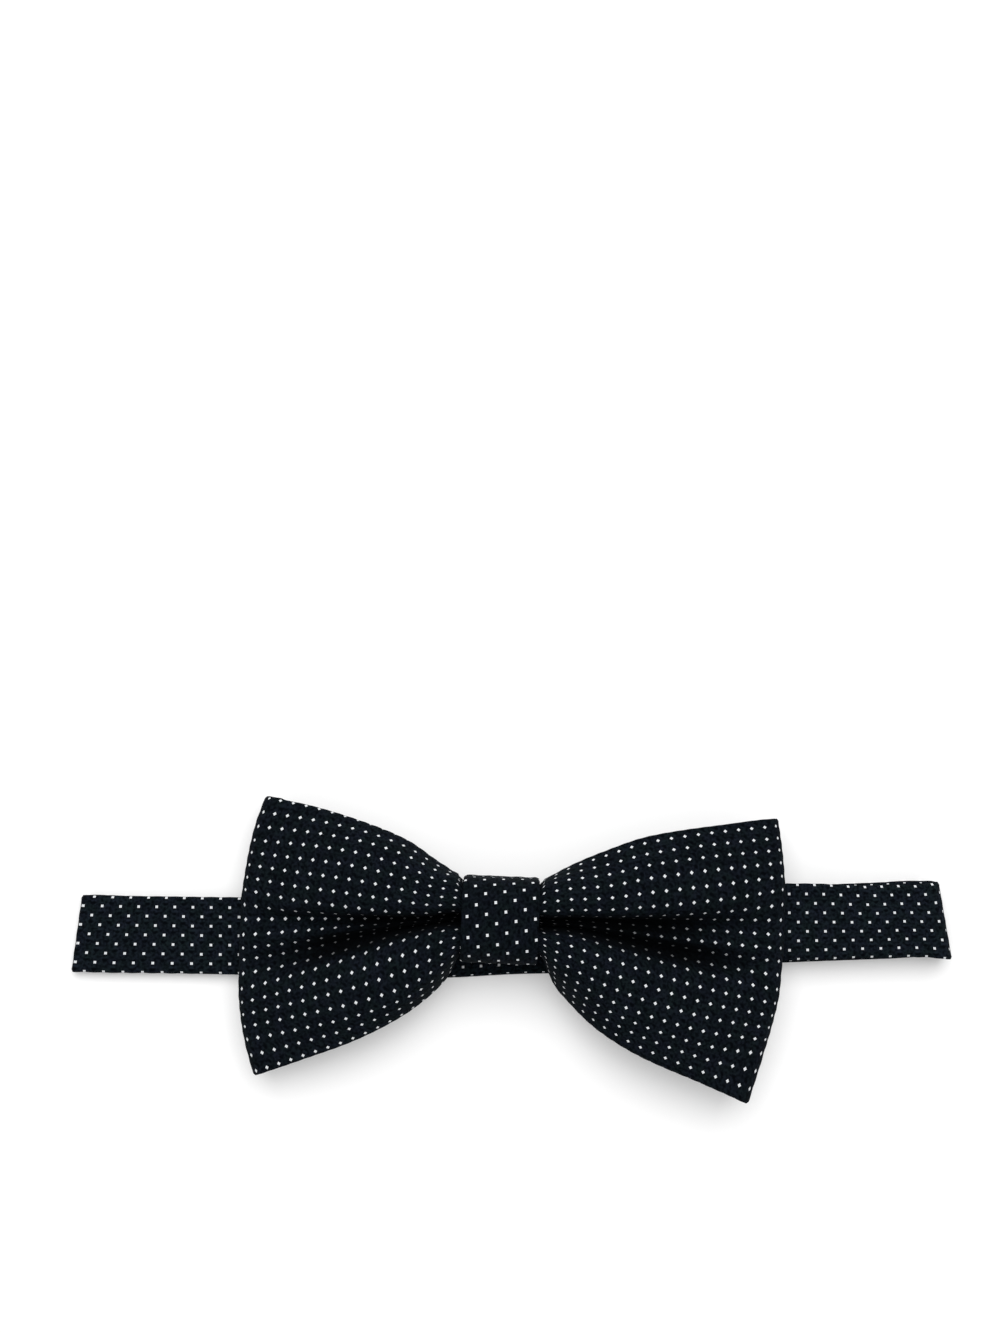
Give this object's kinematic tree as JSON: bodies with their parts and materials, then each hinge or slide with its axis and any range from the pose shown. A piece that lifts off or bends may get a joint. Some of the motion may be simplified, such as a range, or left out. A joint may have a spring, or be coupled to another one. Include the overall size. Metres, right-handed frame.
{
  "type": "pre-tied bow tie",
  "caption": "Pre-tied bow tie of dark pin-dot cloth: looped wings pinched by a wrapped knot on a flat neck band, closed by a plain hidden slide.",
  "frame": {"origin": "on the underside of the neck band's back layer, below the knot, on the surface that the bow tie lies on", "axes": "+X along the neck band, to the right as seen from the front; +Y up on the wearer; +Z away from the wearer, up from the surface that it lies on"},
  "size_m": [0.1997, 0.0684, 0.0192],
  "materials": {
    "bow_cloth": "matt woven cloth with white pin dots on the bias",
    "wrap_cloth": "matt woven cloth with white pin dots on the straight grain",
    "band_cloth": "matt woven cloth with white pin dots on the straight grain",
    "clasp_metal": "brushed"
  },
  "bodies": {
    "root": {"bow": "bow_cloth", "knot_wrap": "wrap_cloth", "neck_band": "band_cloth", "band_clasp": "clasp_metal"}
  },
  "joints": []
}
